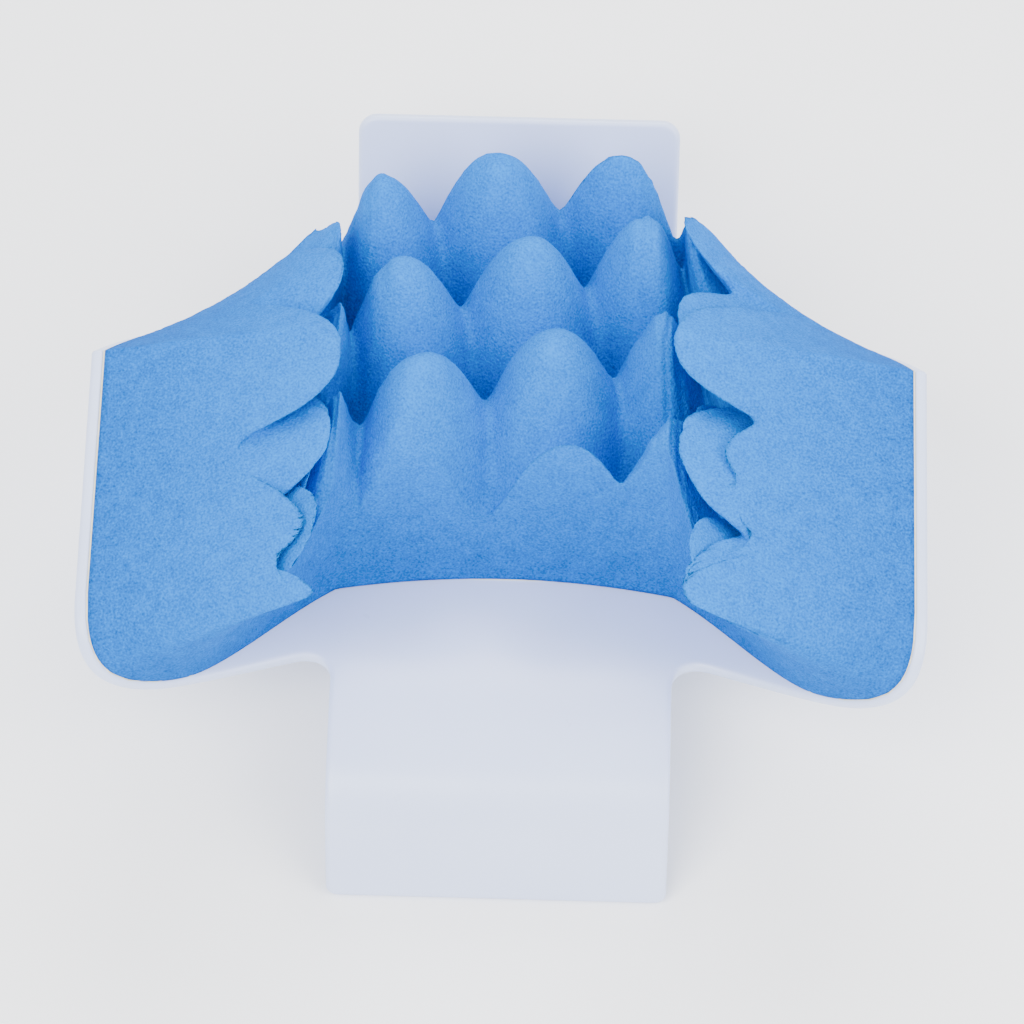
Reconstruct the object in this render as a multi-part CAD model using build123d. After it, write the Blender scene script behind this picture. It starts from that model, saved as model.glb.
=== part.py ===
from build123d import *
import os
from math import atan2, cos, hypot, pi, radians, sin, sqrt

# Neck and shoulder relaxer: a springy one-piece plastic cradle lined with fingered foam.
# Frame: X to the right, Y from the front foot to the head plate, Z up, origin on the
# ground in the middle of the footprint. Lengths in millimetres.
# The cradle is moulded in one piece. It is split along its two bend lines and at the root
# of the head plate, where the moulding flexes, so that each zone can move.

# Driving dimensions
STRIP_WIDTH = 105.5
PLATE = 4.0
FOOT_CORNER = 3.4
HEAD_CORNER = 6.0
CRADLE_WIDTH = 250.0
FOAM_CENTRE = 56.0
FOAM_ROOT = 26.0
FOAM_RIM = 46.0
FOAM_INSET = 1.2
GLUE = 0.5

# Side profile of the strip's upper face, as (Y, Z) corners with a bend radius at each
FOOT_END = (-98.0, 1.6)
FOOT_KNEE = (-83.0, 38.0)
CREST = (-46.0, 43.6)
HEEL = (124.0, PLATE + 0.3)
HEAD_END = (159.5, 53.5)
KNEE_RADIUS = 24.0
CREST_RADIUS = 80.0
HEEL_RADIUS = 18.0

# Foam footprint on the strip, as distances along Y
FOAM_FRONT = -2.0
FOAM_BACK = 112.0

# Wings: how far the rim lies forward of and above the strip, at the foam's two ends
RIM_FRONT = (-48.0, 52.5)
RIM_BACK = (-71.0, 88.0)
WING_TURN = radians(75)
LOBE = 0.34
SHOULDER = 0.26
RIM_START = 0.10
LOBE_AT = 0.5

# Play left where the moulding flexes, and where two foam blocks would squeeze together
FLEX_GAP = 0.9
FOAM_GAP = 1.2
FOAM_RELIEF = radians(13)

HALF_STRIP = STRIP_WIDTH / 2
WING_SPAN = CRADLE_WIDTH / 2 - HALF_STRIP
SECTIONS = 11


def on_line(start, end, y):
    """Height at y on the straight line between two (Y, Z) corners."""
    return start[1] + (end[1] - start[1]) * (y - start[0]) / (end[0] - start[0])


def seat_point(t):
    """Point (Y, Z) on the straight seat of the strip: t is 0 at the foam's front, 1 at its back."""
    y = FOAM_FRONT + t * (FOAM_BACK - FOAM_FRONT)
    return y, on_line(CREST, HEEL, y)


def sheet_point(s, t):
    """Upper face of the right wing: s runs from the strip's edge to the rim, t along the strip."""
    y, z = seat_point(t)
    x = HALF_STRIP + WING_SPAN * sin(WING_TURN * s) / sin(WING_TURN)
    rise = (1 - cos(WING_TURN * s)) / (1 - cos(WING_TURN))
    y += rise * (RIM_FRONT[0] * (1 - t) + RIM_BACK[0] * t)
    z += rise * (RIM_FRONT[1] * (1 - t) + RIM_BACK[1] * t)
    return Vector(x, y, z)


def sheet_normal(s, t):
    """Unit normal of the wing's upper face, pointing into the cradle."""
    step = 0.001
    across = sheet_point(s + step, t) - sheet_point(s - step, t)
    along = sheet_point(s, t + step) - sheet_point(s, t - step)
    return across.cross(along).normalized()


def front_edge(s):
    """Where the wing's rounded front edge lies, as a value of t."""
    if s <= LOBE_AT:
        return -SHOULDER - (LOBE - SHOULDER) * sin(pi / 2 * s / LOBE_AT)
    corner = (s - LOBE_AT) / (1 - LOBE_AT)
    return -LOBE + (LOBE + RIM_START) * (1 - sqrt(max(0.0, 1 - corner**2)))


def foam_front_edge(s):
    """Front edge of the foam on the wing: level with the strip's foam, then along the lobe."""
    inset = FOAM_INSET / (FOAM_BACK - FOAM_FRONT)
    return (front_edge(s) + inset) * sin(pi / 2 * min(1.0, s / LOBE_AT))


def wing_layer(low, high, front):
    """Solid between two offsets of the right wing's face, from the strip's edge to the rim."""
    first = FLEX_GAP * sin(WING_TURN) / (WING_SPAN * WING_TURN)
    wires = []
    for i in range(SECTIONS):
        s = first + (1 - first) * sin(pi / 2 * i / (SECTIONS - 1))
        normal = sheet_normal(s, (front(s) + 1) / 2)
        ends = [sheet_point(s, front(s)), sheet_point(s, 1.0)]
        corners = [ends[0] + normal * low(s), ends[1] + normal * low(s)]
        corners += [ends[1] + normal * high(s), ends[0] + normal * high(s)]
        wires.append(Wire.make_polygon(corners, close=True))
    return Part() + Solid.make_loft(wires, ruled=True)


def strip_profile():
    """Side profile of the whole strip as a closed face in the YZ plane."""
    corners = [FOOT_END, FOOT_KNEE, CREST, HEEL, HEAD_END]
    radii = [KNEE_RADIUS, CREST_RADIUS, HEEL_RADIUS]
    upper = FilletPolyline(*[(y, z) for y, z in corners], radius=radii)
    lower_radii = [KNEE_RADIUS - PLATE, CREST_RADIUS - PLATE, HEEL_RADIUS + PLATE]
    lower = FilletPolyline(*offset_corners(corners, -PLATE), radius=lower_radii)
    ends = [Line(upper @ 0, lower @ 0), Line(upper @ 1, lower @ 1)]
    return Plane.YZ * make_face([*upper.edges(), *lower.edges(), *ends])


def offset_corners(corners, distance):
    """Corners of the polyline parallel to the given one, to its left for a positive distance."""
    moved = []
    for i, corner in enumerate(corners):
        before = direction(corners[max(i - 1, 0)], corners[max(i, 1)])
        after = direction(corners[min(i, len(corners) - 2)], corners[min(i + 1, len(corners) - 1)])
        normal = (-(before[1] + after[1]), before[0] + after[0])
        scale = distance * 2 / (normal[0] ** 2 + normal[1] ** 2)
        moved.append((corner[0] + normal[0] * scale, corner[1] + normal[1] * scale))
    return moved


def direction(start, end):
    """Unit vector between two (Y, Z) corners."""
    length = hypot(end[0] - start[0], end[1] - start[1])
    return (end[0] - start[0]) / length, (end[1] - start[1]) / length


def head_root():
    """Point (Y, Z) on the upper face where the head plate starts to flex, past the heel's bend."""
    run = direction(HEEL, HEAD_END)
    turn = atan2(run[1], run[0]) - atan2(HEEL[1] - CREST[1], HEEL[0] - CREST[0])
    past = HEEL_RADIUS * sin(turn / 2) / cos(turn / 2) + FLEX_GAP
    return HEEL[0] + run[0] * past, HEEL[1] + run[1] * past


def whole_strip():
    """The strip across its full width, with its foot and head corners rounded."""
    strip = extrude(strip_profile(), HALF_STRIP, both=True)
    strip = fillet(end_corners(strip, -1), FOOT_CORNER)
    return fillet(end_corners(strip, 1), HEAD_CORNER)


def end_corners(strip, side):
    """The two corner edges across the plate's thickness, at the foot (-1) or at the head (1)."""
    corners = [e for e in strip.edges() if abs(e.length - PLATE) < 0.01]
    return [e for e in corners if side * e.center().Y > 0]


def split_plane(offset):
    """Plane square to the head plate at its root, moved along the plate by offset."""
    run = direction(HEEL, HEAD_END)
    y, z = head_root()
    point = (0, y + run[0] * offset, z + run[1] * offset)
    return Plane(origin=point, x_dir=(1, 0, 0), z_dir=(0, run[0], run[1]))


def centre_frame():
    """Middle of the moulding with its front foot, up to the root of the head plate."""
    return split(whole_strip(), bisect_by=split_plane(-FLEX_GAP / 2), keep=Keep.BOTTOM)


def head_plate():
    """Flat plate at the back, which bends down under the head."""
    return split(whole_strip(), bisect_by=split_plane(FLEX_GAP / 2), keep=Keep.TOP)


def wing_frame():
    """Right wing of the moulding, clear of the strip by the flex gap."""
    return wing_layer(lambda s: -PLATE, lambda s: 0.0, front_edge)


def wing_glue():
    """Film of adhesive under the right wing's foam."""
    return wing_layer(lambda s: 0.0, lambda s: GLUE, foam_front_edge)


def wing_foam():
    """Foam on the right wing, as deep as its fingers are on average."""
    block = wing_layer(lambda s: GLUE, lambda s: FOAM_ROOT + (FOAM_RIM - FOAM_ROOT) * s, foam_front_edge)
    return split(block, bisect_by=relief_cut(0.0, 1.0), keep=Keep.TOP)


def relief_cut(lean, side):
    """Plane along the bend line, on the wing's side (1) or the strip's (-1), leaning over the strip."""
    start = Vector(HALF_STRIP + FLEX_GAP / 2 + side * FOAM_GAP / 2, *seat_point(0.0))
    end = Vector(start.X, *seat_point(1.0))
    along = (end - start).normalized()
    outward = Vector(1, 0, 0)
    up = outward.cross(along).normalized()
    return Plane(origin=start, x_dir=along, z_dir=outward * cos(lean) + up * sin(lean))


def seat_block(low, high):
    """Block on the strip's seat between two offsets of its face, as wide as the strip."""
    rise = CREST[1] - HEEL[1]
    run = HEEL[0] - CREST[0]
    tilt = atan2(rise, run)
    length = (FOAM_BACK - FOAM_FRONT) / cos(tilt)
    y, z = seat_point(0.0)
    seat = Plane(origin=(0, y, z), x_dir=(1, 0, 0), z_dir=(0, sin(tilt), cos(tilt)))
    block = Box(STRIP_WIDTH, length, high - low, align=(Align.CENTER, Align.MIN, Align.MIN))
    return seat * Pos(0, 0, low) * block


def centre_foam():
    """Foam on the strip, its sides leaning in to let the wings close."""
    cut = relief_cut(FOAM_RELIEF, -1)
    half = split(seat_block(GLUE, FOAM_CENTRE), bisect_by=cut, keep=Keep.BOTTOM)
    return split(left(half), bisect_by=cut, keep=Keep.BOTTOM)


def centre_glue():
    """Film of adhesive under the strip's foam."""
    film = seat_block(0.0, GLUE)
    return film & Box(STRIP_WIDTH - FOAM_GAP + FLEX_GAP, 1000, 1000)


def left(shape):
    """Mirror image of a right-hand piece."""
    return mirror(shape, Plane.YZ)


def hinge_point(t):
    """Point (Y, Z) on a wing's bend line, at half the plate's thickness."""
    y, z = seat_point(t)
    run = direction(CREST, HEEL)
    return y + run[1] * PLATE / 2, z - run[0] * PLATE / 2


def head_hinge():
    """Point (Y, Z) on the head plate's bend line, at half the plate's thickness."""
    y, z = head_root()
    run = direction(HEEL, HEAD_END)
    return y + run[1] * PLATE / 2, z - run[0] * PLATE / 2


def plate_middle():
    """Point (Y, Z) in the middle of the head plate's upper face."""
    y, z = head_root()
    return (y + HEAD_END[0]) / 2, (z + HEAD_END[1]) / 2


def build():
    right = {"wing_frame": wing_frame(), "wing_glue": wing_glue(), "wing_foam": wing_foam()}
    pieces = {"centre_frame": centre_frame(), "head_plate": head_plate()}
    pieces["centre_glue"] = centre_glue()
    pieces["centre_foam"] = centre_foam()
    for name, shape in right.items():
        pieces["right_" + name] = shape
        pieces["left_" + name] = left(shape)
    return pieces


os.makedirs("parts", exist_ok=True)
parts = build()
box = Compound(children=[Part() + shape for shape in parts.values()]).bounding_box()
ground = Pos(0, -(box.min.Y + box.max.Y) / 2, -box.min.Z)
for node, shape in parts.items():
    export_step(ground * shape, f"parts/{node}.step")

# The hinge lines in the finished frame, for whoever writes down the joints
shift = Vector(*ground.position)
print("size", box.size)
for t in (0.0, 1.0):
    print("wing hinge", Vector(HALF_STRIP + FLEX_GAP / 2, *hinge_point(t)) + shift)
print("head hinge", Vector(0, *head_hinge()) + shift)
print("head plate middle", Vector(0, *plate_middle()) + shift)
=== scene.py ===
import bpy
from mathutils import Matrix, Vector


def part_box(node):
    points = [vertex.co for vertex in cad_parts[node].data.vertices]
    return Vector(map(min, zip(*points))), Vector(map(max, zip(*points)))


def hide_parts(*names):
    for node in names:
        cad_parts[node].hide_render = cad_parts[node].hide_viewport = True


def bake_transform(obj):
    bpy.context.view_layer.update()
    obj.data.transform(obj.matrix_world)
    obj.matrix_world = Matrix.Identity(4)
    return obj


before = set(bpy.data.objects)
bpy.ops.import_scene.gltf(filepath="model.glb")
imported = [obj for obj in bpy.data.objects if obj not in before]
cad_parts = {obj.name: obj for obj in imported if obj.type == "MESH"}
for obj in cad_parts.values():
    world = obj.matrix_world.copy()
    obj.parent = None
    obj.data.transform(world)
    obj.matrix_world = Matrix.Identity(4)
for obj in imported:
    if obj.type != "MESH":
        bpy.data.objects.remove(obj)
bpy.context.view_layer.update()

from math import atan2, cos, exp, hypot, pi, radians, sin, sqrt, tan

import bmesh
import bpy
from mathutils import Vector

# Neck and shoulder relaxer: a springy white moulding lined with blue fingered foam.
# Lengths are in metres, in the frame's own axes: X right, Y to the head plate, Z up.

MM = 0.001
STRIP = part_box("centre_frame")
HALF_STRIP = STRIP[1][0]

# The moulding, as in the CAD model
PLATE = 4.0 * MM
FOOT_CORNER = 3.4 * MM
HEAD_CORNER = 6.0 * MM
EDGE_ROUND = 1.4 * MM
WEB = 11.0 * MM
HEAD_ROOT_PAST = 1.0 * MM
CRADLE_WIDTH = 250.0 * MM
WING_SPAN = CRADLE_WIDTH / 2 - HALF_STRIP

# Side profile of the strip's upper face: (Y, Z) corners measured from the foot's tip
CORNERS = [(0.0, 1.6), (15.0, 38.0), (52.0, 43.6), (222.0, 4.3), (257.5, 53.5)]
RADII = [24.0 * MM, 80.0 * MM, 18.0 * MM]
FOOT_TIP = STRIP[0][1]
FOAM_FRONT = 96.0 * MM
FOAM_BACK = 210.0 * MM

# The wings: how far the rim lies forward of and above the strip, at the foam's two ends
RIM_FRONT = (-48.0 * MM, 52.5 * MM)
RIM_BACK = (-71.0 * MM, 88.0 * MM)
WING_TURN = radians(75)
LOBE = 0.34
SHOULDER = 0.26
RIM_START = 0.10
LOBE_AT = 0.5

# The foam: a square lattice of fingers, turned on the pad
PITCH = 40.5 * MM
LATTICE_TURN = radians(15.7)
FINGER_AT = (16.2 * MM, 34.0 * MM)
SADDLE_DROP = 34.0 * MM
PEAK = 77.0 * MM
GLUE = 0.5 * MM
GRAIN = 1.3 * MM
FOAM_INSET = 1.5 * MM
# The foam's front edge bows forward by ARCH at the strip's sides
ARCH = 6.0 * MM
# The fingers stand upright up to FLAT_HALF from the middle, then lean in towards the rim
FLAT_HALF = 36.0 * MM
WING_ARC = 1.62 * WING_SPAN
HALF_PAD = HALF_STRIP + WING_ARC
UPRIGHT_AT = 0.4
# How the pad was stretched when it was glued: at the front edge, and at each wing's rim as
# (shift in X, shift along, stretch along, skew)
FRONT_PULL = 9.0 * MM
PULL_REACH = 22.0 * MM
RIM_STRETCH = {-1: (-3.0 * MM, -6.5 * MM, 0.977, 0.15), 1: (-4.5 * MM, -8.8 * MM, 1.0, 0.15)}
# Share of the turn to the rim's direction that the foam makes, at the wing's front and back, and
# how softly it starts
RIM_LEAN = (0.90, 0.93)
EASE = 0.15


def direction(start, end):
    """Unit vector between two (Y, Z) points."""
    length = hypot(end[0] - start[0], end[1] - start[1])
    return (end[0] - start[0]) / length, (end[1] - start[1]) / length


def rounded_line(corners, radii):
    """Pieces of a polyline with rounded corners: straights as (start, run, length), bends as
    (centre, radius, first angle, turn). Each is stored with its length."""
    pieces = []
    here = corners[0]
    for i, radius in enumerate(radii):
        corner = corners[i + 1]
        before = direction(corners[i], corner)
        after = direction(corner, corners[i + 2])
        turn = atan2(after[1], after[0]) - atan2(before[1], before[0])
        side = 1 if turn > 0 else -1
        cut = radius * tan(abs(turn) / 2)
        start = (corner[0] - before[0] * cut, corner[1] - before[1] * cut)
        pieces.append(("line", here, before, hypot(start[0] - here[0], start[1] - here[1])))
        centre = (start[0] - side * before[1] * radius, start[1] + side * before[0] * radius)
        first = atan2(start[1] - centre[1], start[0] - centre[0])
        pieces.append(("bend", centre, (radius, first, side), radius * abs(turn)))
        here = (corner[0] + after[0] * cut, corner[1] + after[1] * cut)
    last = corners[-1]
    pieces.append(("line", here, direction(here, last), hypot(last[0] - here[0], last[1] - here[1])))
    return pieces


PROFILE = rounded_line([(FOOT_TIP + y * MM, z * MM) for y, z in CORNERS], RADII)
PROFILE_LENGTH = sum(piece[3] for piece in PROFILE)


def profile_point(u):
    """Point (Y, Z) on the strip's upper face at a distance u from the foot's tip."""
    for i, (kind, place, how, length) in enumerate(PROFILE):
        if u <= length or i == len(PROFILE) - 1:
            break
        u -= length
    if kind == "line":
        return place[0] + how[0] * u, place[1] + how[1] * u
    radius, first, side = how
    angle = first + side * u / radius
    return place[0] + radius * cos(angle), place[1] + radius * sin(angle)


def distance_at(y):
    """Distance from the foot's tip to the point of the straight seat with that Y. The seat is the
    fifth piece of the profile."""
    before = sum(piece[3] for piece in PROFILE[:4])
    start, run = PROFILE[4][1:3]
    return before + (y - start[0]) / run[0]


U_FRONT = distance_at(FOOT_TIP + FOAM_FRONT)
U_BACK = distance_at(FOOT_TIP + FOAM_BACK)
SEAT_LENGTH = U_BACK - U_FRONT
# The head plate starts to flex just past the heel's bend, the sixth piece of the profile
U_ROOT = sum(piece[3] for piece in PROFILE[:6]) + HEAD_ROOT_PAST


def sheet_point(s, t):
    """Upper face of the right wing: s runs from the strip's edge to the rim, t along the seat."""
    y, z = profile_point(U_FRONT + t * SEAT_LENGTH)
    rise = (1 - cos(WING_TURN * s)) / (1 - cos(WING_TURN))
    x = HALF_STRIP + WING_SPAN * sin(WING_TURN * s) / sin(WING_TURN)
    y += rise * (RIM_FRONT[0] * (1 - t) + RIM_BACK[0] * t)
    z += rise * (RIM_FRONT[1] * (1 - t) + RIM_BACK[1] * t)
    return Vector((x, y, z))


def sheet_normal(s, t):
    """Unit normal of the wing's upper face, pointing into the cradle."""
    step = 0.001
    across = sheet_point(s + step, t) - sheet_point(s - step, t)
    along = sheet_point(s, t + step) - sheet_point(s, t - step)
    return across.cross(along).normalized()


def strip_point(x, u):
    """Upper face of the strip, at x from its middle and u along its profile."""
    y, z = profile_point(u)
    return Vector((x, y, z))


def strip_normal(u):
    """Unit normal of the strip's upper face."""
    step = 0.2 * MM
    run = direction(profile_point(u - step), profile_point(u + step))
    return Vector((0, -run[1], run[0]))


def front_edge(s):
    """The wing's rounded front edge, as a value of t."""
    if s <= LOBE_AT:
        return -SHOULDER - (LOBE - SHOULDER) * sin(pi / 2 * s / LOBE_AT)
    corner = (s - LOBE_AT) / (1 - LOBE_AT)
    return -LOBE + (LOBE + RIM_START) * (1 - sqrt(max(0.0, 1 - corner**2)))


def web_edge(s):
    """The front edge with the rounded web that joins it to the foot's side."""
    x = WING_SPAN * sin(WING_TURN * s) / sin(WING_TURN)
    short = max(0.0, WEB - x)
    return front_edge(s) - (WEB - sqrt(WEB**2 - short**2)) / SEAT_LENGTH


def foam_edge(s):
    """Front edge of the foam on the wing: it starts at the strip's edge and runs to the lobe, then
    stays just inside it."""
    inset = FOAM_INSET / SEAT_LENGTH
    arch = ARCH / SEAT_LENGTH
    return (front_edge(s) + inset + arch) * sin(pi / 2 * min(1.0, s / LOBE_AT)) - arch


def link(name, mesh):
    """A new object in the scene for a mesh."""
    obj = bpy.data.objects.new(name, mesh)
    bpy.context.scene.collection.objects.link(obj)
    return obj


def spread(count):
    """Numbers from 0 to 1, closer together towards both ends."""
    return [(1 - cos(pi * i / count)) / 2 for i in range(count + 1)]


# ---------------------------------------------------------------- the moulding

WING_COLUMNS = 46
WING_ROWS = 60
STRIP_COLUMNS = 18
END_ROWS = 48


def strip_stations():
    """Distances along the strip: foot, seat as the wing's rows have it, then heel and head plate."""
    first = web_edge(0.0)
    seat = [U_FRONT + (first + (1 - first) * b) * SEAT_LENGTH for b in spread(WING_ROWS)]
    foot = [seat[0] * a for a in spread(END_ROWS)][:-1]
    head = [seat[-1] + (PROFILE_LENGTH - seat[-1]) * a for a in spread(END_ROWS)][1:]
    return foot, seat, head


def strip_half_width(u):
    """Half the strip's width at u, drawn in at the rounded corners of its two ends."""
    for radius, past in ((FOOT_CORNER, u), (HEAD_CORNER, PROFILE_LENGTH - u)):
        if past < radius:
            return HALF_STRIP - radius + sqrt(radius**2 - (radius - past) ** 2)
    return HALF_STRIP


def moulding_grid():
    """Right half of the moulding's upper face, as {(column, row): (place, normal)}."""
    foot, seat, head = strip_stations()
    grid = {}
    for j, u in enumerate(foot + seat + head):
        width = strip_half_width(u)
        for i in range(STRIP_COLUMNS + 1):
            x = width * sin(pi / 2 * i / STRIP_COLUMNS)
            grid[(i, j)] = (strip_point(x, u), strip_normal(u))
    for i, s in enumerate(spread(WING_COLUMNS)[1:]):
        first = web_edge(s)
        for j, b in enumerate(spread(WING_ROWS)):
            t = first + (1 - first) * b
            grid[(STRIP_COLUMNS + 1 + i, len(foot) + j)] = (sheet_point(s, t), sheet_normal(s, t))
    return grid


def nearest(spot, line):
    """Distance from a point to a line of segments."""
    least = 1.0
    for a, b in line:
        along = b - a
        share = min(1.0, max(0.0, (spot - a).dot(along) / along.length_squared))
        least = min(least, (spot - a - along * share).length)
    return least


def moulding_shell():
    """The whole moulding as one closed plate whose outer edges are rounded."""
    half = moulding_grid()
    cells = [(i, j) for i, j in half if {(i + 1, j), (i, j + 1), (i + 1, j + 1)} <= half.keys()]
    sides = {}
    for i, j in cells:
        ring = [(i, j), (i + 1, j), (i + 1, j + 1), (i, j + 1)]
        for a, b in zip(ring, ring[1:] + ring[:1]):
            sides[frozenset((a, b))] = sides.get(frozenset((a, b)), 0) + 1
    edge = [tuple(pair) for pair, count in sides.items() if count == 1]
    edge = [(a, b) for a, b in edge if a[0] or b[0]]
    border = {c for pair in edge for c in pair}
    line = [(half[a][0], half[b][0]) for a, b in edge]
    bm = bmesh.new()
    verts = {}
    for (i, j), (place, normal) in half.items():
        gap = 0.0 if (i, j) in border else nearest(place, line)
        short = max(0.0, EDGE_ROUND - gap)
        cut = EDGE_ROUND - sqrt(EDGE_ROUND**2 - short**2)
        for level, depth in ((0, cut), (1, PLATE - cut)):
            for side in (-1, 1) if i else (1,):
                spot = place - normal * depth
                spot.x *= side
                verts[(level, side * i, j)] = bm.verts.new(spot)
    for i, j in cells:
        for side in (-1, 1):
            here, beyond = side * i, side * (i + 1)
            ring = [(here, j), (beyond, j), (beyond, j + 1), (here, j + 1)]
            bm.faces.new([verts[(0, *c)] for c in ring[::side]])
            bm.faces.new([verts[(1, *c)] for c in ring[::-side]])
    for a, b in edge:
        for side in (-1, 1):
            p, q = (side * a[0], a[1]), (side * b[0], b[1])
            bm.faces.new([verts[(0, *p)], verts[(0, *q)], verts[(1, *q)], verts[(1, *p)]])
    bmesh.ops.recalc_face_normals(bm, faces=bm.faces)
    for face in bm.faces:
        face.smooth = True
    mesh = bpy.data.meshes.new("moulding")
    bm.to_mesh(mesh)
    bm.free()
    return mesh


# ---------------------------------------------------------------- the foam

FOAM_COLUMNS = 210
FOAM_ROWS = 120
SIDE_LEVELS = 34
# Share of the pad's columns that lie on the strip
STRIP_SHARE = 0.36
# A finger's room: columns looked at to either side, the most that is told, the share of it that a
# finger may fill and how softly that limit sets in
ROOM_STEPS = 3
ROOM_MOST = 200.0 * MM
ROOM_USED = 0.94
ROOM_EASE = 12.0 * MM


def foam_across(k):
    """Column k of the foam's right half, as (x on the strip, s on the wing)."""
    share = k / (FOAM_COLUMNS // 2)
    if share <= STRIP_SHARE:
        return HALF_STRIP * share / STRIP_SHARE, 0.0
    return HALF_STRIP, (share - STRIP_SHARE) / (1 - STRIP_SHARE)


def lean_share(bend, t):
    """How far the foam has turned from upright to the rim's direction: an eased start, then even.
    The wing's front is shorter from strip to rim, so the foam turns less there."""
    front, back = RIM_LEAN
    most = front + (back - front) * min(1.0, max(0.0, t))
    return most * (hypot(bend, EASE) - EASE) / (hypot(1.0, EASE) - EASE)


def foam_column(k, side):
    """Column k of the foam on one side: its places, lean vectors and flat coordinates."""
    x, s = foam_across(k)
    first = foam_edge(s) if s else -ARCH / SEAT_LENGTH * (x / HALF_STRIP) ** 2
    length = (sheet_point(s, 1.0) - sheet_point(s, 0.0)).length
    middle = strip_normal(U_FRONT + UPRIGHT_AT * SEAT_LENGTH)
    across = x + s * WING_ARC
    bend = max(0.0, across - FLAT_HALF) / (HALF_PAD - FLAT_HALF)
    held = bend * bend * (3 - 2 * bend)
    shift_x, shift_y, stretch, skew = RIM_STRETCH[side]
    column = []
    for b in range(FOAM_ROWS + 1):
        t = first + (1 - first) * b / FOAM_ROWS
        place = sheet_point(s, t) if s else strip_point(x, U_FRONT + t * SEAT_LENGTH)
        edge = sheet_normal(1.0, max(0.0, t))
        lean = middle.slerp(edge, lean_share(bend, t)) if bend else middle.copy()
        pull = FRONT_PULL * exp(-max(0.0, t) * length / PULL_REACH) * (1 - held)
        flat_x = side * across + pull + held * (shift_x + skew * (t - 0.5) * length)
        flat_y = t * length * (1 + (stretch - 1) * held) + pull + held * shift_y
        for vector in (place, lean):
            vector.x *= side
        column.append((place, lean, Vector((flat_x, flat_y, bend))))
    return column


def room_at(grid, i, j):
    """How long a finger can be at a point before it meets the next one across the wing's bend. It
    doesn't look along the wing, where a few tips still fold into each other."""
    before = grid[max(0, i - ROOM_STEPS)][j]
    after = grid[min(len(grid) - 1, i + ROOM_STEPS)][j]
    apart = after[0] - before[0]
    closing = -(after[1] - before[1]).dot(apart) / apart.length_squared
    return 1 / max(closing, 1 / ROOM_MOST)


def foam_block():
    """The pad as a closed skin lying on the moulding, with what the finger tree needs on each point:
    flat, where the point was on the uncut foam; lean, which way the foam stands there; lift, from 0
    underneath to 1 on the fingered face."""
    middle = FOAM_COLUMNS // 2
    grid = [foam_column(abs(k), -1 if k < 0 else 1) for k in range(-middle, middle + 1)]
    columns, rows = len(grid), len(grid[0])
    rooms = [[room_at(grid, i, j) for j in range(FOAM_ROWS + 1)] for i in range(len(grid))]
    verts, lifts, index, room = [], [], {}, []

    def add(i, j, lift, key):
        index[key] = len(verts)
        verts.append(grid[i][j])
        lifts.append(lift)
        room.append(rooms[i][j])

    for i in range(columns):
        for j in range(rows):
            add(i, j, 1.0, ("top", i, j))
            add(i, j, 0.0, ("low", i, j))
    ring = [(i, 0) for i in range(columns)]
    ring += [(columns - 1, j) for j in range(1, rows)]
    ring += [(i, rows - 1) for i in range(columns - 2, -1, -1)]
    ring += [(0, j) for j in range(rows - 2, 0, -1)]
    for i, j in ring:
        for level in range(1, SIDE_LEVELS):
            add(i, j, level / SIDE_LEVELS, (level, i, j))

    def at(level, i, j):
        return index[({0: "low", SIDE_LEVELS: "top"}.get(level, level), i, j)]

    faces = []
    for i in range(columns - 1):
        for j in range(rows - 1):
            quad = [(i, j), (i + 1, j), (i + 1, j + 1), (i, j + 1)]
            faces.append([index[("top", *c)] for c in quad])
            faces.append([index[("low", *c)] for c in reversed(quad)])
    for a, b in zip(ring, ring[1:] + ring[:1]):
        for level in range(SIDE_LEVELS):
            faces.append([at(level, *a), at(level, *b), at(level + 1, *b), at(level + 1, *a)])
    mesh = bpy.data.meshes.new("foam_block")
    mesh.from_pydata([spot[0] for spot in verts], [], faces)
    for name, kind, values in (
        ("lean", "FLOAT_VECTOR", [c for spot in verts for c in spot[1]]),
        ("flat", "FLOAT_VECTOR", [c for spot in verts for c in spot[2]]),
        ("lift", "FLOAT", lifts),
        ("room", "FLOAT", room),
    ):
        layer = mesh.attributes.new(name, kind, "POINT")
        layer.data.foreach_set("vector" if kind == "FLOAT_VECTOR" else "value", values)
    return link("foam_block", mesh)


# Where the fingers crowd most, as a share of the way from FLAT_HALF to the rim, how far that
# reaches, and the base of its falling off
CROWD_AT = 0.35
CROWD_REACH = 0.22
NATURAL_BASE = 2.718
# The grain fades in over the lowest twelfth of the foam
GRAIN_FADE = 12.0


class Tree:
    """A few short helpers for writing a node tree."""

    def __init__(self, tree):
        self.tree = tree

    def node(self, kind, *sources, **settings):
        made = self.tree.nodes.new(kind)
        for name, value in settings.items():
            setattr(made, name, value)
        for i, source in enumerate(sources):
            self.plug(made.inputs[i], source)
        return made

    def plug(self, socket, source):
        if source is None:
            return
        if isinstance(source, (int, float, tuple)):
            socket.default_value = source
        else:
            self.tree.links.new(source, socket)

    def math(self, operation, *sources):
        return self.node("ShaderNodeMath", *sources, operation=operation).outputs[0]

    def attribute(self, name, kind="FLOAT"):
        read = self.node("GeometryNodeInputNamedAttribute", data_type=kind)
        read.inputs["Name"].default_value = name
        return read.outputs[0]


def add_sockets(tree, numbers):
    """Geometry in and out, and a named input for each size with its default."""
    tree.interface.new_socket("Geometry", in_out="INPUT", socket_type="NodeSocketGeometry")
    tree.interface.new_socket("Geometry", in_out="OUTPUT", socket_type="NodeSocketGeometry")
    for name, value in numbers.items():
        socket = tree.interface.new_socket(name, in_out="INPUT", socket_type="NodeSocketFloat")
        socket.default_value = value


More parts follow.
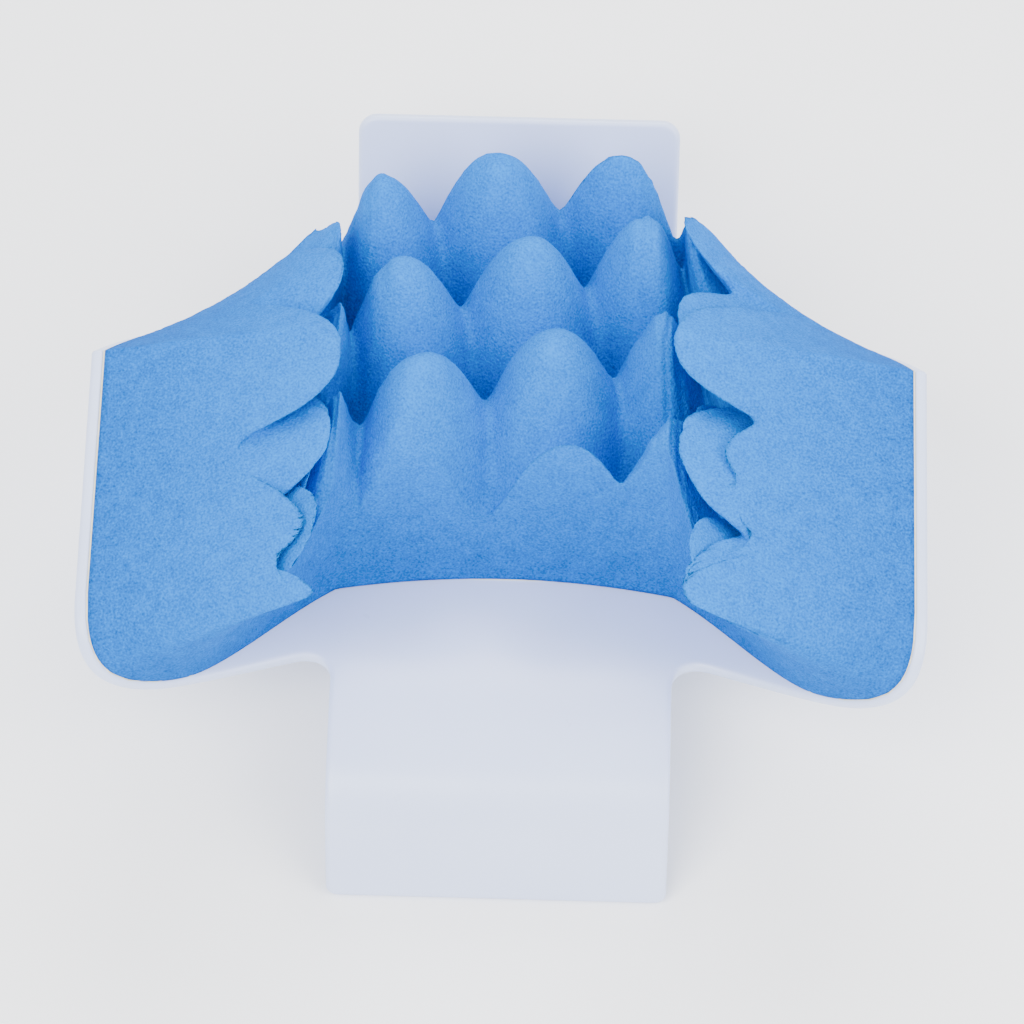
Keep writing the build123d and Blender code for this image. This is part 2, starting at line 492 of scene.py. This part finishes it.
def finger_tree(material):
    """Raises the fingers: each point moves along its lean by the height of the cut foam there."""
    tree = bpy.data.node_groups.new("fingered_foam", "GeometryNodeTree")
    sizes = {
        "Pitch": PITCH,
        "Turn": LATTICE_TURN,
        "Finger X": FINGER_AT[0],
        "Finger Y": FINGER_AT[1],
        "Peak": PEAK,
        "Saddle Drop": SADDLE_DROP,
        "Valley Fill": 0.5 * SADDLE_DROP,
        "Valley Round": 0.985,
        "Bluntness": 2.1,
        "Wing Bluntness": 0.5,
        "Corner Loss": 0.16,
        "Wing Fill": 0.2,
        "Rim Loss": 1.0 * MM,
        "Glue": GLUE,
        "Unevenness": 2.6 * MM,
        "Grain": 0.35 * MM,
    }
    add_sockets(tree, sizes)
    n = Tree(tree)
    given = n.node("NodeGroupInput").outputs
    flat = n.node("ShaderNodeSeparateXYZ", n.attribute("flat", "FLOAT_VECTOR")).outputs
    lift = n.attribute("lift")

    # lattice coordinates, in turns
    x = n.math("SUBTRACT", flat[0], given["Finger X"])
    y = n.math("SUBTRACT", flat[1], given["Finger Y"])
    c = n.math("COSINE", given["Turn"])
    s = n.math("SINE", given["Turn"])
    p = n.math("ADD", n.math("MULTIPLY", x, c), n.math("MULTIPLY", y, s))
    q = n.math("SUBTRACT", n.math("MULTIPLY", y, c), n.math("MULTIPLY", x, s))

    # a round tip that falls away faster and faster, down to a narrow rounded valley
    blunt = n.math("MULTIPLY_ADD", flat[2], given["Wing Bluntness"], given["Bluntness"])
    fall = 0.0
    for place in (p, q):
        turns = n.math("DIVIDE", place, given["Pitch"])
        wave = n.math("SINE", n.math("MULTIPLY", turns, pi))
        line = n.math("ARCSINE", n.math("MULTIPLY", wave, given["Valley Round"]))
        share = n.math("ABSOLUTE", n.math("DIVIDE", line, pi / 2))
        fall = n.math("ADD", fall, n.math("POWER", share, blunt))
    past = n.math("MAXIMUM", n.math("SUBTRACT", fall, 1.0), 0.0)
    fall = n.math("SUBTRACT", n.math("MULTIPLY", fall, given["Saddle Drop"]),
                  n.math("MULTIPLY", n.math("MULTIPLY", past, past), given["Valley Fill"]))
    crest = n.math("SUBTRACT", 1.0, n.math("DIVIDE", fall, given["Peak"]))

    # fingers crowd in the bend of the wings, so they stay shorter there
    near = n.math("DIVIDE", n.math("SUBTRACT", flat[2], CROWD_AT), CROWD_REACH)
    crowd = n.math("POWER", NATURAL_BASE, n.math("MULTIPLY", n.math("MULTIPLY", near, near), -1.0))
    keep = n.math("SUBTRACT", 1.0, n.math("MULTIPLY", crowd, given["Corner Loss"]))
    shallow = n.math("SUBTRACT", 1.0, n.math("MULTIPLY", flat[2], given["Wing Fill"]))
    peak = n.math("SUBTRACT", given["Peak"], n.math("MULTIPLY", flat[2], given["Rim Loss"]))
    height = n.math("MULTIPLY", n.math("SUBTRACT", peak, n.math("MULTIPLY", fall, shallow)), keep)

    fits = n.math("MULTIPLY", n.attribute("room"), ROOM_USED)
    height = n.math("SMOOTH_MIN", height, fits, ROOM_EASE)

    # the saw leaves the fingers a little uneven, and the open cells leave a fine grain
    rough = n.node("ShaderNodeTexNoise", n.attribute("flat", "FLOAT_VECTOR"), noise_dimensions="3D")
    rough.inputs["Scale"].default_value = 1 / (0.7 * PITCH)
    rough.inputs["Detail"].default_value = 1.0
    uneven = n.math("MULTIPLY", n.math("SUBTRACT", rough.outputs[0], 0.5), given["Unevenness"])
    height = n.math("ADD", height, n.math("MULTIPLY", uneven, 2.0))
    lifted = n.math("MULTIPLY_ADD", height, lift, given["Glue"])
    cells = n.node("ShaderNodeTexNoise", noise_dimensions="3D")
    cells.inputs["Scale"].default_value = 1 / GRAIN
    cells.inputs["Detail"].default_value = 0.0
    grain = n.math("MULTIPLY", n.math("SUBTRACT", cells.outputs[0], 0.5), given["Grain"])
    grain = n.math("MULTIPLY", grain, n.math("MINIMUM", n.math("MULTIPLY", lift, GRAIN_FADE), 1.0))

    offset = n.node("ShaderNodeVectorMath", n.attribute("lean", "FLOAT_VECTOR"), operation="SCALE")
    n.plug(offset.inputs["Scale"], lifted)
    moved = n.node("GeometryNodeSetPosition", given["Geometry"])
    n.plug(moved.inputs["Offset"], offset.outputs[0])
    outward = n.node("GeometryNodeInputNormal").outputs[0]
    fuzz = n.node("ShaderNodeVectorMath", outward, operation="SCALE")
    n.plug(fuzz.inputs["Scale"], n.math("MULTIPLY", grain, 2.0))
    fuzzed = n.node("GeometryNodeSetPosition", moved.outputs[0])
    n.plug(fuzzed.inputs["Offset"], fuzz.outputs[0])
    # Painted light: how near each point lies to a finger's crest, stored so that the foam's colour
    # is lighter on the tips and darker, as painted shade, in the valleys
    kept = n.node("GeometryNodeStoreNamedAttribute", fuzzed.outputs[0])
    kept.inputs["Name"].default_value = "painted_tip_light"
    n.plug(kept.inputs["Value"], n.math("MULTIPLY", crest, lift))
    real = n.node("GeometryNodeRealizeInstances", kept.outputs[0])
    painted = n.node("GeometryNodeSetMaterial", real.outputs[0])
    painted.inputs["Material"].default_value = material
    n.node("NodeGroupOutput", painted.outputs[0])
    return tree


def run_tree(obj, tree):
    """The plain mesh that a node tree makes of an object; the object itself is removed."""
    obj.modifiers.new("shape", "NODES").node_group = tree
    depsgraph = bpy.context.evaluated_depsgraph_get()
    mesh = bpy.data.meshes.new_from_object(obj.evaluated_get(depsgraph))
    bpy.data.objects.remove(obj)
    return mesh


# ---------------------------------------------------------------- cutting a skin into moving pieces


def carve(mesh, name, keep):
    """The part of a closed skin whose faces keep() takes, closed again where it was cut, with the
    whole skin's shading at the cut so that two neighbours show no seam."""
    piece = mesh.copy()
    piece.name = name
    shade = piece.attributes.new("shade", "FLOAT_VECTOR", "CORNER")
    normals = [c for corner in mesh.corner_normals for c in corner.vector]
    shade.data.foreach_set("vector", normals)
    bm = bmesh.new()
    bm.from_mesh(piece)
    gone = [face for face in bm.faces if not keep(face.calc_center_median())]
    bmesh.ops.delete(bm, geom=gone, context="FACES")
    rims = [edge for edge in bm.edges if edge.is_boundary]
    caps = bmesh.ops.edgeloop_fill(bm, edges=rims)["faces"] if rims else []
    layer = bm.loops.layers.float_vector["shade"]
    bm.normal_update()
    for face in caps:
        face.smooth = False
        for loop in face.loops:
            loop[layer] = face.normal
    bm.to_mesh(piece)
    bm.free()
    values = [Vector(item.vector) for item in piece.attributes["shade"].data]
    piece.normals_split_custom_set([tuple(v.normalized()) for v in values])
    piece.attributes.remove(piece.attributes["shade"])
    return link(name, piece)


# ---------------------------------------------------------------- materials


def new_material(name):
    """A plain node material, a helper for its tree, and its surface shader."""
    material = bpy.data.materials.new(name)
    material.use_nodes = True
    n = Tree(material.node_tree)
    shader = material.node_tree.nodes["Principled BSDF"]
    return material, n, shader


def object_noise(n, size, detail=2.0):
    """Noise over the object's own space with features of that size in metres."""
    place = n.node("ShaderNodeTexCoord").outputs["Object"]
    noise = n.node("ShaderNodeTexNoise", place)
    noise.inputs["Scale"].default_value = 1 / size
    noise.inputs["Detail"].default_value = detail
    return noise.outputs[0]


def ramp(n, source, stops):
    """A colour ramp through (place, colour) stops."""
    made = n.node("ShaderNodeValToRGB", source)
    elements = made.color_ramp.elements
    while len(elements) < len(stops):
        elements.new(0.5)
    for element, (place, colour) in zip(elements, stops):
        element.position = place
        element.color = (*colour, 1.0)
    return made.outputs[0]


def white_moulding():
    """Smooth white polypropylene, slightly milky, with the faint waviness of a moulded skin."""
    material, n, shader = new_material("white_moulding")
    tint = ramp(n, object_noise(n, 0.05), [(0.3, (0.60, 0.69, 0.97)), (0.7, (0.64, 0.73, 1.0))])
    n.plug(shader.inputs["Base Color"], tint)
    gloss = n.node("ShaderNodeMapRange", object_noise(n, 0.012, 4.0))
    gloss.inputs["To Min"].default_value = 0.24
    gloss.inputs["To Max"].default_value = 0.36
    n.plug(shader.inputs["Roughness"], gloss.outputs[0])
    shader.inputs["IOR"].default_value = 1.49
    bump = n.node("ShaderNodeBump")
    bump.inputs["Strength"].default_value = 0.12
    bump.inputs["Distance"].default_value = 0.2 * MM
    n.plug(bump.inputs["Height"], object_noise(n, 0.0012, 3.0))
    n.plug(shader.inputs["Normal"], bump.outputs[0])
    return material


def blue_foam():
    """Open-cell blue foam: dark pores between pale struts, with painted light on the fingers' tips
    and painted shade down in the valleys between them.
    """
    material, n, shader = new_material("blue_foam")
    place = n.node("ShaderNodeTexCoord").outputs["Object"]
    cells = n.node("ShaderNodeTexVoronoi", place)
    cells.inputs["Scale"].default_value = 1 / (0.9 * MM)
    pores = object_noise(n, 0.7 * MM, 3.0)
    mottle = object_noise(n, 6.0 * MM, 3.0)
    # Painted light and shade: the fingers' tips are coloured lighter and the valleys between them
    # darker
    painted_tip_light = n.node("ShaderNodeAttribute", attribute_name="painted_tip_light").outputs["Fac"]
    speck = n.math("MULTIPLY_ADD", n.math("SUBTRACT", pores, 0.5), 0.9, 0.5)
    level = n.math("MULTIPLY_ADD", painted_tip_light, 0.22, n.math("MULTIPLY_ADD", mottle, 0.25, -0.18))
    level = n.math("ADD", speck, level)
    stops = [(0.25, (0.0, 0.065, 0.30)), (0.5, (0.0, 0.13, 0.52)), (0.78, (0.0, 0.21, 0.72))]
    colour = ramp(n, level, stops)
    n.plug(shader.inputs["Base Color"], colour)
    shader.inputs["Roughness"].default_value = 0.95
    shader.inputs["Specular IOR Level"].default_value = 0.05
    bump = n.node("ShaderNodeBump")
    bump.inputs["Strength"].default_value = 0.5
    bump.inputs["Distance"].default_value = 0.5 * MM
    n.plug(bump.inputs["Height"], n.math("ADD", cells.outputs["Distance"], pores))
    n.plug(shader.inputs["Normal"], bump.outputs[0])
    return material


def dried_glue():
    """A thin film of yellowish contact adhesive."""
    material, n, shader = new_material("dried_glue")
    tint = ramp(n, object_noise(n, 0.004), [(0.3, (0.62, 0.58, 0.42)), (0.7, (0.74, 0.71, 0.58))])
    n.plug(shader.inputs["Base Color"], tint)
    shader.inputs["Roughness"].default_value = 0.5
    return material


# ---------------------------------------------------------------- the pieces


def build_moulding(material):
    """The moulding, cut at the middle and at the head plate's root so that each piece can flex."""
    mesh = moulding_shell()
    mesh.materials.append(material)
    root = Vector((0, *profile_point(U_ROOT)))
    run = Vector((0, *PROFILE[-1][2]))

    def on_head(spot):
        return (spot - root).dot(run) > 0 and spot.y > root.y - 2 * PLATE

    left = carve(mesh, "cradle_left", lambda c: c.x < 0 and not on_head(c))
    right = carve(mesh, "cradle_right", lambda c: c.x >= 0 and not on_head(c))
    head = carve(mesh, "cradle_head", on_head)
    for piece, side in ((left, "left"), (right, "right")):
        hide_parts(side + "_wing_frame", "centre_frame")
    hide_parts("head_plate")
    return left, right, head, root, run


def wing_blend(piece):
    """Bakes a half's transform into its mesh. The point at the seat's middle is worked out but not
    used.
    """
    y, z = profile_point(U_FRONT + 0.5 * SEAT_LENGTH)
    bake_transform(piece)


def build_foam(material):
    """The fingered pad, cut at the middle, one half to each wing."""
    mesh = run_tree(foam_block(), finger_tree(material))
    for polygon in mesh.polygons:
        polygon.use_smooth = True
    halves = {}
    for side, sign in (("left", -1), ("right", 1)):
        halves[side] = carve(mesh, "foam_" + side, lambda c: c.x * sign > 0)
        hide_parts(side + "_wing_foam", "centre_foam")
    return halves


def build_object():
    """The moulding and the foam, with a material on them and on every CAD node."""
    plastic = white_moulding()
    foam = blue_foam()
    glue = dried_glue()
    left, right, head, root, run = build_moulding(plastic)
    wing_blend(left)
    wing_blend(right)
    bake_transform(head)
    for side, piece in build_foam(foam).items():
        wing_blend(piece)
    for name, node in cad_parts.items():
        node.data.materials.clear()
        node.data.materials.append(glue if name.endswith("glue") else plastic)


# ---------------------------------------------------------------- camera, floor and light

VIEW_DISTANCE = 1.5
VIEW_ELEVATION = radians(60)
VIEW_AZIMUTH = radians(1.7)
VIEW_WIDTH = 0.315
AIM = Vector((2.2 * MM, FOOT_TIP + 98.0 * MM, 73.0 * MM))


def build_camera():
    """A long lens above the foot, looking down into the cradle."""
    data = bpy.data.cameras.new("camera")
    data.sensor_width = 36.0
    data.lens = data.sensor_width * VIEW_DISTANCE / VIEW_WIDTH
    data.clip_end = 20.0
    camera = bpy.data.objects.new("camera", data)
    bpy.context.scene.collection.objects.link(camera)
    back = Vector((sin(VIEW_AZIMUTH) * cos(VIEW_ELEVATION), -cos(VIEW_AZIMUTH) * cos(VIEW_ELEVATION),
                   sin(VIEW_ELEVATION)))
    camera.location = AIM + back * VIEW_DISTANCE
    camera.rotation_euler = back.to_track_quat("Z", "Y").to_euler()
    bpy.context.scene.camera = camera


def soft_light(name, place, size, power):
    """A large square lamp aimed at the object."""
    data = bpy.data.lights.new(name, "AREA")
    data.size = size
    data.energy = power
    lamp = bpy.data.objects.new(name, data)
    bpy.context.scene.collection.objects.link(lamp)
    lamp.location = place
    lamp.rotation_euler = (Vector(place) - Vector((0, 0, 0.05))).to_track_quat("Z", "Y").to_euler()


def build_studio():
    """A pale floor, a bright even sky and three soft lamps."""
    bm = bmesh.new()
    bmesh.ops.create_grid(bm, x_segments=1, y_segments=1, size=6.0)
    mesh = bpy.data.meshes.new("floor")
    bm.to_mesh(mesh)
    bm.free()
    floor = link("floor", mesh)
    material, _, shader = new_material("pale_floor")
    shader.inputs["Base Color"].default_value = (1.0, 1.0, 1.0, 1.0)
    shader.inputs["Roughness"].default_value = 0.7
    mesh.materials.append(material)
    world = bpy.data.worlds.new("sky")
    world.use_nodes = True
    world.node_tree.nodes["Background"].inputs["Color"].default_value = (0.93, 0.95, 1.0, 1.0)
    world.node_tree.nodes["Background"].inputs["Strength"].default_value = 1.4
    bpy.context.scene.world = world
    soft_light("key", (-0.5, -0.7, 1.2), 0.9, 26.0)
    soft_light("fill", (0.8, -0.4, 0.9), 0.9, 14.0)
    soft_light("back", (0.1, 1.0, 1.0), 0.8, 18.0)


build_camera()
build_object()
build_studio()
